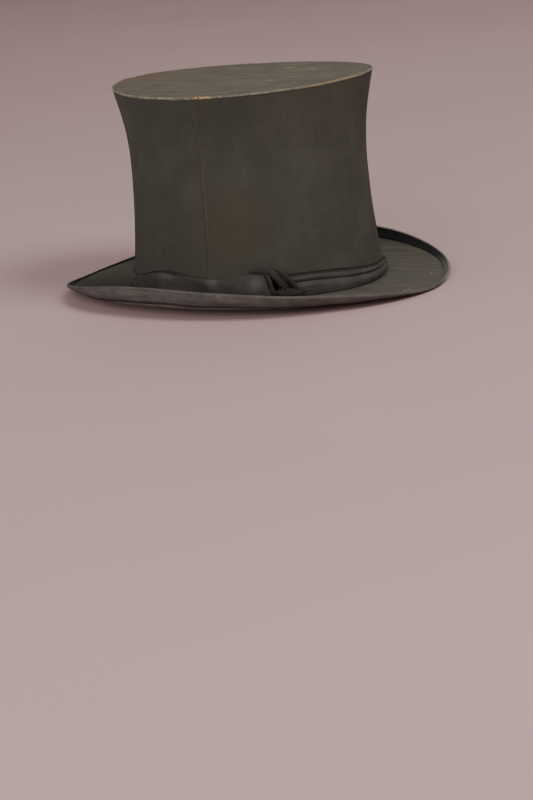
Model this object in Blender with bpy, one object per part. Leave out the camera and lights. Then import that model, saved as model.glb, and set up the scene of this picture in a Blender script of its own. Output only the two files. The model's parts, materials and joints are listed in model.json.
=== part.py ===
"""A collapsible top hat (an opera hat) as an assembly, in metres, +Z up.

The origin is the centre of the head opening, in the middle plane of the brim board. The wearer faces
-Y, so the wearer's left is +X. The crown stands on four jointed struts: each has a lower arm on the
base ring, a knee with a torsion spring, and an upper arm under the top ring. Pressing the crown down
sends the knees inwards.
"""

import math

import bmesh
import bpy
from mathutils import Matrix, Vector

# ---- driving dimensions, in metres ----
GAP = 0.0003  # clearance between pieces that touch

# outside of the crown cloth: half width along X, half length along Y
BASE_OVAL = (0.0860, 0.1020)
WAIST_OVAL = (0.0800, 0.0941)
TOP_OVAL = (0.0890, 0.1032)
CROWN_HEIGHT = 0.156
WAIST_HEIGHT = 0.094

BRIM_WIDTH_SIDE = 0.0455  # along the cloth, from the crown to the edge
BRIM_WIDTH_END = 0.0502
BRIM_FORWARD = 0.0018  # the brim is this much wider in front and narrower behind
CURL_LENGTH = 0.027  # the outer part of the brim, which curls up at the sides
CURL_ANGLE = math.radians(70)
CURL_FALL = 1.5  # how fast the curl fades from the sides towards the ends
END_DIP = 0.0015
BOARD_THICKNESS = 0.0012
BRIM_CLOTH = 0.0005
BINDING_CLOTH = 0.0006
BINDING_UNDER = 0.011
BINDING_OVER = 0.0065
CURL_STATIONS = (CURL_LENGTH, 0.022, 0.0165, BINDING_UNDER, BINDING_OVER, 0)  # from the edge inwards
FOLD_CORNER = 0.6  # the binding's fold is flat to this share of its height
EDGE_WIRE_RADIUS = 0.0006

COVER_CLOTH = 0.0008
LINING_CLOTH = 0.0004
COLLAR_HEIGHT = 0.014
COLLAR_THICKNESS = 0.0010
HOOP_THICKNESS = 0.0006
BASE_HOOP_LOW, BASE_HOOP_HIGH = 0.0025, 0.0240
TOP_HOOP_LOW, TOP_HOOP_HIGH = 0.1425, 0.1526
LEATHER_THICKNESS = 0.0011
LEATHER_INSET = 0.0052
LEATHER_LOW, LEATHER_HIGH = -0.0008, 0.0240
LEATHER_OVER_CLOTH = 0.0010  # the brim's lower cloth stops this far short of the leather's outside
REED_RADIUS = 0.0008
SWEATBAND_BOW_DEGREES = (85, 95)
SWEATBAND_BOW_LOW, SWEATBAND_BOW_HIGH = 0.005, 0.012
SWEATBAND_BOW_CLEARANCE = 0.0012
SWEATBAND_BOW_THICKNESS = 0.0016
BAND_THICKNESS = 0.0028
BAND_LOW, BAND_HIGH = 0.0019, 0.0204
LOOP_DEGREES = (-44, 27.8)
LOOP_LOW, LOOP_HIGH = 0.0045, 0.0205
LOOP_THICKNESS = 0.0022
KNOT_DEGREES = (28, 41)
KNOT_LOW, KNOT_HIGH = 0.0022, 0.0240
KNOT_THICKNESS = 0.0034
OVER_BAND_GAP = 0.0004
COVER_LOW = 0.0017
COVER_BELOW_TOP = 0.0019
TIP_BOARD_BELOW_TOP = 0.0013
WELT_RADIUS = 0.0008

STRUT_PHI = math.radians(45)  # where the struts stand on the oval
PIVOT_INSET = 0.0122
LOWER_PIVOT_HEIGHT = 0.032
UPPER_PIVOT_HEIGHT = 0.144
OPEN_LEAN = math.radians(4)  # each arm leans inwards this much when the hat is open
ARM_THICKNESS = 0.0015
ARM_HALF_WIDTH = 0.0030
EYE_RADIUS = 0.0040
PIN_RADIUS = 0.0010
PIN_HOLE_RADIUS = 0.00107
PIN_HEAD_RADIUS = 0.0022
PIN_HEAD_HEIGHT = 0.0007
EAR_THICKNESS = 0.0009
EAR_RADIUS = 0.0038
FOOT_THICKNESS = 0.0010
FOOT_HALF_WIDTH = 0.0048
LOWER_FOOT_LOW = 0.006
LOWER_FOOT_CLEARANCE = 0.0005
UPPER_FOOT_CLEARANCE = 0.0004
FOOT_TO_EYE = 0.0004
UPPER_FOOT_BELOW_HOOP = 0.0010
EAR_ROOT = 0.0008
SPRING_COIL_RADIUS = 0.0029
SPRING_WIRE_RADIUS = 0.00045
SPRING_TURNS = 3
SPRING_PITCH = 0.0010
SPRING_LEG = 0.015

SEGMENTS = 40  # around every oval piece, so that neighbouring layers share their facets
PIN_SEGMENTS = 8
WIRE_SEGMENTS = 5

ARM_LENGTH = (UPPER_PIVOT_HEIGHT - LOWER_PIVOT_HEIGHT) / (2 * math.cos(OPEN_LEAN))
ARM_OFFSET = ARM_THICKNESS / 2 + GAP / 2  # the two arms lap at the knee, one each side of the strut's plane

MATERIALS = {}


# ---- materials ----
def material(name, colour, roughness, metallic=0.0):
    if name not in MATERIALS:
        made = bpy.data.materials.new(name)
        made.use_nodes = True
        shader = made.node_tree.nodes["Principled BSDF"]
        shader.inputs["Base Color"].default_value = (*colour, 1)
        shader.inputs["Roughness"].default_value = roughness
        shader.inputs["Metallic"].default_value = metallic
        MATERIALS[name] = made
    return MATERIALS[name]


def crown_cloth():
    return material("crown_cloth", (0.052, 0.044, 0.034), 0.85)


def brim_cloth():
    return material("brim_cloth", (0.060, 0.052, 0.040), 0.85)


def ribbon():
    return material("ribbon", (0.045, 0.038, 0.034), 0.65)


def satin():
    return material("satin", (0.030, 0.028, 0.030), 0.35)


def leather():
    return material("leather", (0.115, 0.050, 0.022), 0.50)


def board():
    return material("stiffened_board", (0.230, 0.170, 0.100), 0.80)


def black_steel():
    return material("black_steel", (0.035, 0.035, 0.038), 0.35, 1.0)


def bright_steel():
    return material("bright_steel", (0.460, 0.450, 0.430), 0.30, 1.0)


# ---- the hat's ovals ----
def angles():
    return [2 * math.pi * i / SEGMENTS for i in range(SEGMENTS)]


def crown_oval(z):
    """Half width and half length of the crown cloth's outside at this height: a waist between two flares."""
    if z < WAIST_HEIGHT:
        end, share = BASE_OVAL, (WAIST_HEIGHT - z) / WAIST_HEIGHT
    else:
        end, share = TOP_OVAL, (z - WAIST_HEIGHT) / (CROWN_HEIGHT - WAIST_HEIGHT)
    return [waist + (e - waist) * share**2 for waist, e in zip(WAIST_OVAL, end)]


def oval_ring(half_width, half_length, z):
    return [Vector((half_width * math.cos(a), half_length * math.sin(a), z)) for a in angles()]


def crown_ring(z, inset):
    """A ring of points this far inside the crown cloth's outside, at this height."""
    half_width, half_length = crown_oval(z)
    return oval_ring(half_width - inset, half_length - inset, z)


def outward(phi):
    """The unit normal of the head opening's oval at this angle."""
    return Vector((math.cos(phi) / BASE_OVAL[0], math.sin(phi) / BASE_OVAL[1], 0)).normalized()


# ---- the brim's surface ----
def brim_width(phi):
    even = BRIM_WIDTH_SIDE + (BRIM_WIDTH_END - BRIM_WIDTH_SIDE) * math.sin(phi) ** 2
    return even - BRIM_FORWARD * math.sin(phi)


def curl_turn(phi):
    """How far the edge is turned up: most at the sides, not at all at the ends, and a little unevenly."""
    sway = 0.06 * math.cos(phi) - 0.08 * math.sin(phi) + 0.06 * math.sin(2 * phi)
    sway -= 0.06 * (math.sin(3 * phi) + math.cos(3 * phi)) + 0.09 * math.sin(4 * phi)
    return CURL_ANGLE * abs(math.cos(phi)) ** CURL_FALL * (1 + sway)


def brim_point(phi, along, lift):
    """along is the distance from the crown over the cloth, and lift is square to the surface."""
    out = outward(phi)
    start = Vector((BASE_OVAL[0] * math.cos(phi), BASE_OVAL[1] * math.sin(phi), 0))
    width = brim_width(phi)
    turn = curl_turn(phi)
    on_curl = min(max(along - (width - CURL_LENGTH), 0), CURL_LENGTH)
    past_edge = max(along - width, 0)
    slope = turn * on_curl / CURL_LENGTH
    reach, rise = min(along, width - CURL_LENGTH), 0.0
    if slope > 1e-6:
        radius = CURL_LENGTH / turn
        reach += radius * math.sin(slope)
        rise += radius * (1 - math.cos(slope))
    else:
        reach += on_curl
    reach += past_edge * math.cos(slope) - lift * math.sin(slope)
    rise += past_edge * math.sin(slope) + lift * math.cos(slope)
    dip = END_DIP * math.sin(phi) ** 2 * (max(along, 0) / width) ** 1.5
    return start + out * reach + Vector((0, 0, rise - dip))


def brim_ring(station, lift):
    """station is a function of the brim's width at each angle."""
    return [brim_point(a, station(brim_width(a)), lift) for a in angles()]


# ---- building meshes ----
def finish(mesh_maker, name, look):
    """Turns a bmesh into a named, smooth-shaded object whose faces point outwards."""
    bmesh.ops.recalc_face_normals(mesh_maker, faces=mesh_maker.faces)
    mesh = bpy.data.meshes.new(name)
    mesh_maker.to_mesh(mesh)
    mesh_maker.free()
    mesh.shade_smooth()
    mesh.set_sharp_from_angle(angle=math.radians(35))
    return place(mesh, name, look)


def place(data, name, look):
    piece = bpy.data.objects.new(name, data)
    if not data.materials:
        data.materials.append(look)
    bpy.context.scene.collection.objects.link(piece)
    return piece


def bridge(maker, one, other):
    count = len(one)
    for i in range(count):
        j = (i + 1) % count
        maker.faces.new((one[i], one[j], other[j], other[i]))


def hoop(name, rings, look):
    """A closed ring-shaped solid: each item is a ring of points, and the last joins the first."""
    maker = bmesh.new()
    loops = [[maker.verts.new(p) for p in ring] for ring in rings]
    for one, other in zip(loops, loops[1:] + loops[:1]):
        bridge(maker, one, other)
    return finish(maker, name, look)


def stack(name, rings, look):
    """A closed disc-shaped or cup-shaped solid: rings joined in order, with a flat cap at each end."""
    maker = bmesh.new()
    loops = [[maker.verts.new(p) for p in ring] for ring in rings]
    for one, other in zip(loops, loops[1:]):
        bridge(maker, one, other)
    maker.faces.new(loops[0])
    maker.faces.new(loops[-1])
    return finish(maker, name, look)


def spread(low, high, steps):
    """Evenly spaced heights from low to high, both included."""
    return [low + (high - low) * i / steps for i in range(steps + 1)]


def arc(centre, radius, start, end, steps):
    """Points of an arc in a plane, from start to end in degrees."""
    turns = [math.radians(start + (end - start) * i / steps) for i in range(steps + 1)]
    return [(centre[0] + radius * math.cos(t), centre[1] + radius * math.sin(t)) for t in turns]


def circle(centre, radius, count):
    return arc(centre, radius, 0, 360, count)[:-1]


def prism(outline, holes, low, high):
    """A bmesh plate: its outline and holes lie in the local X-Z plane, from low to high along Y."""
    maker = bmesh.new()
    for points in (outline, *holes):
        verts = [maker.verts.new((x, low, z)) for x, z in points]
        for one, other in zip(verts, verts[1:] + verts[:1]):
            maker.edges.new((one, other))
    bmesh.ops.triangle_fill(maker, use_beauty=True, edges=maker.edges[:])
    grown = bmesh.ops.extrude_face_region(maker, geom=maker.faces[:])
    moved = [v for v in grown["geom"] if isinstance(v, bmesh.types.BMVert)]
    bmesh.ops.translate(maker, verts=moved, vec=(0, high - low, 0))
    bmesh.ops.recalc_face_normals(maker, faces=maker.faces)
    return maker


def joined(name, makers, look):
    """One mesh from several overlapping plates, joined by Boolean unions."""
    helpers = []
    for number, maker in enumerate(makers):
        mesh = bpy.data.meshes.new(f"{name}_piece_{number}")
        maker.to_mesh(mesh)
        maker.free()
        helper = bpy.data.objects.new(mesh.name, mesh)
        bpy.context.scene.collection.objects.link(helper)
        helpers.append(helper)
    for helper in helpers[1:]:
        union = helpers[0].modifiers.new("union", "BOOLEAN")
        union.operation = "UNION"
        union.solver = "EXACT"
        union.object = helper
    bpy.context.view_layer.update()
    graph = bpy.context.evaluated_depsgraph_get()
    mesh = bpy.data.meshes.new_from_object(helpers[0].evaluated_get(graph))
    mesh.name = name
    mesh.materials.clear()
    mesh.materials.append(look)
    mesh.set_sharp_from_angle(angle=math.radians(35))
    for helper in helpers:
        bpy.data.objects.remove(helper)
    return mesh


# ---- the brim ----
def make_brim():
    half = BOARD_THICKNESS / 2
    cloth_low = half + GAP
    cloth_high = cloth_low + BRIM_CLOTH
    curl = [lambda w, back=back: w - back for back in CURL_STATIONS]

    def from_inner(inner, lift):
        return [brim_ring(lambda w: inner, lift)] + [brim_ring(station, lift) for station in curl]

    board_inner = -(COVER_CLOTH + GAP + COLLAR_THICKNESS)
    hoop("brim_board", from_inner(board_inner, -half) + from_inner(board_inner, half)[::-1], board())
    collar_levels = spread(half + GAP, COLLAR_HEIGHT, 1)
    wall("brim_collar", collar_levels, COVER_CLOTH + GAP, COLLAR_THICKNESS, board())

    top_inner = -COVER_CLOTH
    hoop(
        "brim_top_cloth",
        from_inner(top_inner, cloth_high) + from_inner(top_inner, cloth_low)[::-1],
        brim_cloth(),
    )
    under_inner = -(LEATHER_INSET - LEATHER_OVER_CLOTH)
    hoop(
        "brim_under_cloth",
        from_inner(under_inner, -cloth_low) + from_inner(under_inner, -cloth_high)[::-1],
        brim_cloth(),
    )

    wire_at = EDGE_WIRE_RADIUS + GAP
    hoop(
        "brim_wire",
        [
            brim_ring(lambda w, x=x: w + wire_at + x, z)
            for x, z in circle((0, 0), EDGE_WIRE_RADIUS, 5)
        ],
        bright_steel(),
    )

    inner = cloth_high + GAP
    outer = inner + BINDING_CLOTH
    fold_in = 2 * EDGE_WIRE_RADIUS + 2 * GAP
    fold_out = fold_in + BINDING_CLOTH
    outside = [
        (-BINDING_UNDER, -outer),
        (-BINDING_OVER, -outer),
        (0, -outer),
        (fold_out, -FOLD_CORNER * outer),
        (fold_out, FOLD_CORNER * outer),
        (0, outer),
        (-BINDING_OVER, outer),
    ]
    inside = [
        (-BINDING_OVER, inner),
        (0, inner),
        (fold_in, FOLD_CORNER * inner),
        (fold_in, -FOLD_CORNER * inner),
        (0, -inner),
        (-BINDING_OVER, -inner),
        (-BINDING_UNDER, -inner),
    ]
    hoop("brim_binding", [brim_ring(lambda w, x=x: w + x, z) for x, z in outside + inside], ribbon())


# ---- the base: hoop, sweatband and hat band ----
def wall(name, levels, inset, thickness, look):
    """A thin wall that follows the crown's shape, this far inside the crown cloth's outside."""
    outer = [crown_ring(z, inset) for z in levels]
    inner = [crown_ring(z, inset + thickness) for z in levels]
    return hoop(name, outer + inner[::-1], look)


def patch(name, degree_range, inset_range, z_range, look, steps):
    """A short curved block that lies along the head opening's oval."""
    maker = bmesh.new()
    sections = []
    for degrees in spread(*degree_range, steps):
        phi = math.radians(degrees)
        corner = []
        for inset, z in (
            (inset_range[0], z_range[0]),
            (inset_range[1], z_range[0]),
            (inset_range[1], z_range[1]),
            (inset_range[0], z_range[1]),
        ):
            half_width, half_length = crown_oval(z)
            x = (half_width - inset) * math.cos(phi)
            y = (half_length - inset) * math.sin(phi)
            corner.append(maker.verts.new((x, y, z)))
        sections.append(corner)
    for one, other in zip(sections, sections[1:]):
        bridge(maker, one, other)
    maker.faces.new(sections[0])
    maker.faces.new(sections[-1])
    return finish(maker, name, look)


def make_base():
    hoop_inset = COVER_CLOTH + COLLAR_THICKNESS + 2 * GAP
    hoop_levels = spread(BASE_HOOP_LOW, BASE_HOOP_HIGH, 2)
    wall("base_ring", hoop_levels, hoop_inset, HOOP_THICKNESS, black_steel())
    wall("sweatband", spread(LEATHER_LOW, LEATHER_HIGH, 3), LEATHER_INSET, LEATHER_THICKNESS, leather())
    reed_inset = LEATHER_INSET + LEATHER_THICKNESS / 2
    reed_height = LEATHER_LOW - GAP - REED_RADIUS
    hoop(
        "sweatband_reed",
        [crown_ring(reed_height + z, reed_inset + x) for x, z in circle((0, 0), REED_RADIUS, 5)],
        leather(),
    )
    bow_inset = LEATHER_INSET + LEATHER_THICKNESS + SWEATBAND_BOW_CLEARANCE
    patch(
        "sweatband_bow",
        SWEATBAND_BOW_DEGREES,
        (bow_inset, bow_inset + SWEATBAND_BOW_THICKNESS),
        (SWEATBAND_BOW_LOW, SWEATBAND_BOW_HIGH),
        satin(),
        2,
    )
    wall("hat_band", spread(BAND_LOW, BAND_HIGH, 3), -(GAP + BAND_THICKNESS), BAND_THICKNESS, ribbon())
    over_band = -(2 * GAP + BAND_THICKNESS + OVER_BAND_GAP)
    patch(
        "bow_loop",
        LOOP_DEGREES,
        (over_band - LOOP_THICKNESS, over_band),
        (LOOP_LOW, LOOP_HIGH),
        ribbon(),
        9,
    )
    patch(
        "bow_knot",
        KNOT_DEGREES,
        (over_band - KNOT_THICKNESS, over_band),
        (KNOT_LOW, KNOT_HIGH),
        ribbon(),
        3,
    )


# ---- the crown ----
def make_crown(lift):
    """The cloth walls belong to the base; the rest hangs on the empty at the first upper pivot."""
    cover_high = CROWN_HEIGHT - COVER_BELOW_TOP
    cover_levels = spread(COVER_LOW, WAIST_HEIGHT, 4) + spread(WAIST_HEIGHT, cover_high, 4)[1:]
    wall("crown_side_cover", cover_levels, 0, COVER_CLOTH, crown_cloth())
    lining_inset = COVER_CLOTH + GAP
    lining_low, lining_high = BASE_HOOP_HIGH + GAP, TOP_HOOP_LOW - GAP
    lining_levels = spread(lining_low, WAIST_HEIGHT, 4) + spread(WAIST_HEIGHT, lining_high, 3)[1:]
    wall("side_lining", lining_levels, lining_inset, LINING_CLOTH, satin())

    hoop_levels = spread(TOP_HOOP_LOW, TOP_HOOP_HIGH, 2)
    hung = [wall("top_ring", hoop_levels, lining_inset, HOOP_THICKNESS, black_steel())]
    skirt_inset = lining_inset + HOOP_THICKNESS + GAP
    skirt_low, skirt_high = TOP_HOOP_LOW, TOP_HOOP_HIGH + GAP
    hung.append(
        stack(
            "tip_lining",
            [
                crown_ring(skirt_high, skirt_inset),
                crown_ring(skirt_low, skirt_inset),
                crown_ring(skirt_low, skirt_inset + LINING_CLOTH),
                crown_ring(skirt_high - LINING_CLOTH, skirt_inset + LINING_CLOTH),
            ],
            satin(),
        )
    )
    board_low, board_high = skirt_high + GAP, CROWN_HEIGHT - TIP_BOARD_BELOW_TOP
    hung.append(
        stack(
            "tip_board",
            [crown_ring(board_low, lining_inset + GAP), crown_ring(board_high, lining_inset + GAP)],
            board(),
        )
    )
    tip_inset = 2 * WELT_RADIUS + GAP
    tip_low = board_high + GAP
    rim = [half - tip_inset for half in TOP_OVAL]
    hung.append(
        stack("tip_cover", [oval_ring(*rim, tip_low), oval_ring(*rim, CROWN_HEIGHT)], crown_cloth())
    )
    welt_height = CROWN_HEIGHT - WELT_RADIUS
    hung.append(
        hoop(
            "tip_welt",
            [
                oval_ring(TOP_OVAL[0] - WELT_RADIUS + x, TOP_OVAL[1] - WELT_RADIUS + x, welt_height + z)
                for x, z in circle((0, 0), WELT_RADIUS, 5)
            ],
            crown_cloth(),
        )
    )
    for piece in hung:
        piece.parent = lift
        piece.matrix_parent_inverse = lift.matrix_world.inverted()


# ---- the struts ----
def strut_phis():
    return [STRUT_PHI, math.pi - STRUT_PHI, math.pi + STRUT_PHI, -STRUT_PHI]


def strut_frame(phi, inset=0.0, z=0.0):
    """Local X points out of the hat, local Y along the oval and local Z up."""
    out = outward(phi)
    start = Vector((BASE_OVAL[0] * math.cos(phi), BASE_OVAL[1] * math.sin(phi), z))
    turn = Matrix.Rotation(math.atan2(out.y, out.x), 4, "Z")
    return Matrix.Translation(start - out * inset) @ turn


def arm_mesh(name, side, look):
    """A flat arm from its pivot at the origin up to its far eye; side is 1 or -1, its side of the lap."""
    half_open = math.degrees(math.asin(ARM_HALF_WIDTH / EYE_RADIUS))
    outline = arc((0, 0), EYE_RADIUS, 90 + half_open, 450 - half_open, 8)
    outline += arc((0, ARM_LENGTH), EYE_RADIUS, half_open - 90, 270 - half_open, 8)
    holes = [circle((0, z), PIN_HOLE_RADIUS, PIN_SEGMENTS) for z in (0, ARM_LENGTH)]
    middle = side * ARM_OFFSET
    half = ARM_THICKNESS / 2
    return joined(name, [prism(outline, holes, middle - half, middle + half)], look)


def pin_mesh(name, low, high, look):
    """A rivet along local Y with a low domed head at each end; low and high are the shank's ends."""
    profile = [
        (low - PIN_HEAD_HEIGHT, 0.6 * PIN_HEAD_RADIUS),
        (low - 0.4 * PIN_HEAD_HEIGHT, PIN_HEAD_RADIUS),
        (low, PIN_HEAD_RADIUS),
        (low, PIN_RADIUS),
        (high, PIN_RADIUS),
        (high, PIN_HEAD_RADIUS),
        (high + 0.4 * PIN_HEAD_HEIGHT, PIN_HEAD_RADIUS),
        (high + PIN_HEAD_HEIGHT, 0.6 * PIN_HEAD_RADIUS),
    ]
    maker = bmesh.new()
    loops = []
    for y, radius in profile:
        loops.append([maker.verts.new((x, y, z)) for x, z in circle((0, 0), radius, PIN_SEGMENTS)])
    for one, other in zip(loops, loops[1:]):
        bridge(maker, one, other)
    maker.faces.new(loops[0])
    maker.faces.new(loops[-1])
    bmesh.ops.recalc_face_normals(maker, faces=maker.faces)
    return joined(name, [maker], look)


def bracket_mesh(name, side, foot, ear, pivot_z, look):
    """A foot plate with two ears that hold an arm's eye; foot and ear are outlines from the side."""
    middle = side * ARM_OFFSET
    inner = ARM_THICKNESS / 2 + GAP
    hole = circle((-PIVOT_INSET, pivot_z), PIN_HOLE_RADIUS, PIN_SEGMENTS)
    ears = [
        prism(ear, [hole], middle + low, middle + low + EAR_THICKNESS)
        for low in (-inner - EAR_THICKNESS, inner)
    ]
    return joined(name, [prism(foot, [], -FOOT_HALF_WIDTH, FOOT_HALF_WIDTH), *ears], look)


def crown_reach(z):
    """How far the crown cloth's outside is from the head opening's oval, at a strut; inwards is negative."""
    out = outward(STRUT_PHI)
    half_width, half_length = crown_oval(z)
    x = (half_width - BASE_OVAL[0]) * math.cos(STRUT_PHI)
    y = (half_length - BASE_OVAL[1]) * math.sin(STRUT_PHI)
    return x * out.x + y * out.y


def foot_face(z, inset):
    return crown_reach(z) - inset


def foot_outline(low, high, inset):
    """A plate seen from the side, leaning with the crown wall from low to high."""
    face_low, face_high = foot_face(low, inset), foot_face(high, inset)
    return [
        (face_low - FOOT_THICKNESS, low),
        (face_low, low),
        (face_high, high),
        (face_high - FOOT_THICKNESS, high),
    ]


def lower_bracket(look):
    """The plate ends below the arm's eye, and the ears rise over the sweatband's top edge."""
    inset = COVER_CLOTH + COLLAR_THICKNESS + HOOP_THICKNESS + 3 * GAP + LOWER_FOOT_CLEARANCE
    low = LEATHER_HIGH + 2 * GAP
    root = foot_face(low, inset) - FOOT_THICKNESS / 2
    ear = [(root - EAR_ROOT, low), (root, low)]
    ear += arc((-PIVOT_INSET, LOWER_PIVOT_HEIGHT), EAR_RADIUS, -30, 210, 9)
    foot = foot_outline(LOWER_FOOT_LOW, LOWER_PIVOT_HEIGHT - EYE_RADIUS - FOOT_TO_EYE, inset)
    return bracket_mesh("lower_bracket", -1, foot, ear, LOWER_PIVOT_HEIGHT, look)


def upper_bracket(look):
    inset = COVER_CLOTH + HOOP_THICKNESS + LINING_CLOTH + 3 * GAP + UPPER_FOOT_CLEARANCE
    low, high = UPPER_PIVOT_HEIGHT - EAR_RADIUS, UPPER_PIVOT_HEIGHT + EAR_RADIUS
    half = FOOT_THICKNESS / 2
    ear = [(foot_face(low, inset) - half, low), (foot_face(high, inset) - half, high)]
    ear += arc((-PIVOT_INSET, UPPER_PIVOT_HEIGHT), EAR_RADIUS, 90, 270, 8)
    foot = foot_outline(low - FOOT_TO_EYE, TOP_HOOP_HIGH - UPPER_FOOT_BELOW_HOOP, inset)
    return bracket_mesh("upper_bracket", 1, foot, ear, UPPER_PIVOT_HEIGHT, look)


def wire_mesh(name, points, radius, look):
    """A round wire swept along these points, with a flat end cap at each end."""
    maker = bmesh.new()
    loops = []
    across = Vector((0, 1, 0))
    for before, point, after in zip([points[0]] + points, points, points[1:] + [points[-1]]):
        along = (after - before).normalized()
        if along.cross(across).length < 0.1:
            across = Vector((1, 0, 0))
        across = (across - along * across.dot(along)).normalized()
        other = along.cross(across)
        ring = circle((0, 0), radius, WIRE_SEGMENTS)
        loops.append([maker.verts.new(point + across * x + other * y) for x, y in ring])
    for one, other in zip(loops, loops[1:]):
        bridge(maker, one, other)
    maker.faces.new(loops[0])
    maker.faces.new(loops[-1])
    bmesh.ops.recalc_face_normals(maker, faces=maker.faces)
    return joined(name, [maker], look)


def spring_path():
    """A torsion spring about the knee: a leg down the lower arm, the coil, a leg up the upper arm."""
    start = ARM_THICKNESS + GAP / 2 + 2 * GAP + SPRING_WIRE_RADIUS
    end = start + SPRING_TURNS * SPRING_PITCH
    hook_at = EYE_RADIUS + SPRING_WIRE_RADIUS + GAP

    def leg(side, y, reach_y):
        """side is -1 down the lower arm and 1 up the upper one; the leg runs along the arm's inner edge."""
        points = [
            (-hook_at, y, side * 0.35 * SPRING_LEG),
            (-hook_at, reach_y, side * 0.75 * SPRING_LEG),
            (-hook_at, reach_y, side * SPRING_LEG),
        ]
        return [Matrix.Rotation(-side * OPEN_LEAN, 3, "Y") @ Vector(p) for p in points]

    steps = 8 * SPRING_TURNS
    coil = []
    for i in range(steps + 1):
        turn = math.pi - 2 * math.pi * SPRING_TURNS * i / steps
        y = start + (end - start) * i / steps
        coil.append(Vector((SPRING_COIL_RADIUS * math.cos(turn), y, SPRING_COIL_RADIUS * math.sin(turn))))
    return leg(-1, start, -ARM_OFFSET)[::-1] + coil + leg(1, end, ARM_OFFSET), end


def make_struts():
    wire, spring_end = spring_path()
    lap = ARM_THICKNESS + GAP / 2
    shank = ARM_THICKNESS / 2 + 2 * GAP + EAR_THICKNESS
    meshes = {
        "lower_arm": arm_mesh("lower_arm", -1, black_steel()),
        "upper_arm": arm_mesh("upper_arm", 1, black_steel()),
        "lower_bracket": lower_bracket(black_steel()),
        "upper_bracket": upper_bracket(black_steel()),
        "lower_pin": pin_mesh("lower_pin", -ARM_OFFSET - shank, -ARM_OFFSET + shank, bright_steel()),
        "upper_pin": pin_mesh("upper_pin", ARM_OFFSET - shank, ARM_OFFSET + shank, bright_steel()),
        "knee_pin": pin_mesh(
            "knee_pin", -lap - GAP, spring_end + SPRING_WIRE_RADIUS + GAP, bright_steel()
        ),
        "knee_spring": wire_mesh("knee_spring", wire, SPRING_WIRE_RADIUS, bright_steel()),
    }
    knee_inset = PIVOT_INSET + ARM_LENGTH * math.sin(OPEN_LEAN)
    knee_height = (LOWER_PIVOT_HEIGHT + UPPER_PIVOT_HEIGHT) / 2
    places = {
        "lower_bracket": (0, 0, 0),
        "upper_bracket": (0, 0, 0),
        "lower_pin": (PIVOT_INSET, LOWER_PIVOT_HEIGHT, 0),
        "lower_arm": (PIVOT_INSET, LOWER_PIVOT_HEIGHT, -OPEN_LEAN),
        "knee_pin": (knee_inset, knee_height, 0),
        "knee_spring": (knee_inset, knee_height, 0),
        "upper_arm": (knee_inset, knee_height, OPEN_LEAN),
        "upper_pin": (PIVOT_INSET, UPPER_PIVOT_HEIGHT, 0),
    }
    for number, phi in enumerate(strut_phis(), start=1):
        for kind, (inset, z, lean) in places.items():
            piece = place(meshes[kind], f"{kind}_{number}", None)
            piece.matrix_world = strut_frame(phi, inset, z) @ Matrix.Rotation(lean, 4, "Y")


def crown_lift():
    """An empty on the first strut's upper pivot, the axis that the crown's own joint turns about."""
    empty = bpy.data.objects.new("crown_lift", None)
    bpy.context.scene.collection.objects.link(empty)
    empty.matrix_world = strut_frame(STRUT_PHI, PIVOT_INSET, UPPER_PIVOT_HEIGHT)
    return empty


def main():
    for old in list(bpy.data.objects):
        bpy.data.objects.remove(old)
    make_brim()
    make_base()
    make_crown(crown_lift())
    make_struts()


main()
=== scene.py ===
"""The looks of the collapsible top hat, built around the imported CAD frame. Metres, +Z up.

Phi is the angle round the head opening's oval, from the wearer's left (+X) towards the back (+Y). The sizes
below repeat those of the CAD part, so each fine piece lies where its plain CAD solid is.
"""

import json
import math
from functools import reduce
from math import atan2, copysign, cos, exp, pi, radians, sin, sqrt

import bmesh
import bpy
from mathutils import Matrix, Vector, noise


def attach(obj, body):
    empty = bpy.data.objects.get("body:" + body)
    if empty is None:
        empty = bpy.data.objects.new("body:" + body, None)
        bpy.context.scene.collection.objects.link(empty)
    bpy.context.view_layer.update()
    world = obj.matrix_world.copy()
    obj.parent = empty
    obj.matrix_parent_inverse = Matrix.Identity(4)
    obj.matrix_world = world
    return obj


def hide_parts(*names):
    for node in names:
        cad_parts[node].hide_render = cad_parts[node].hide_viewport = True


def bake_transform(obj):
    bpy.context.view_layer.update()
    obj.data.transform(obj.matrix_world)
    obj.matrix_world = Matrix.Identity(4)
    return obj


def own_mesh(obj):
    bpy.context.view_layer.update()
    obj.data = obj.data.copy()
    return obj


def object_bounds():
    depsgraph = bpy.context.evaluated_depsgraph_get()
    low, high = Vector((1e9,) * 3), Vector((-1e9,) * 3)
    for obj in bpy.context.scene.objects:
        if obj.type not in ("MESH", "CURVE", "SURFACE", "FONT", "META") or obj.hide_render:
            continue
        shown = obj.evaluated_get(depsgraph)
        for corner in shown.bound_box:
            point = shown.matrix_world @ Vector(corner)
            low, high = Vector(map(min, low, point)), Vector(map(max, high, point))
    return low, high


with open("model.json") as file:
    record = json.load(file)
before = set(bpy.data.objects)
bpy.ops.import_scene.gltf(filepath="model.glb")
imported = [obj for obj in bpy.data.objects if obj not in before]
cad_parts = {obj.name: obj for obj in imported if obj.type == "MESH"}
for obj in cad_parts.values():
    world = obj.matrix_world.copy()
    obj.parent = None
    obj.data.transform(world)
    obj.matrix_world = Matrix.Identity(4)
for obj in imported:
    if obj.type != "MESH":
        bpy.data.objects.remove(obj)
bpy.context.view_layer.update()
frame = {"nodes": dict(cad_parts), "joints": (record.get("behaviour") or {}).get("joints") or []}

MM = 0.001
SETTLING = 0.001  # the worn brim hangs this much below its solids
GAP = 0.0003

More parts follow.
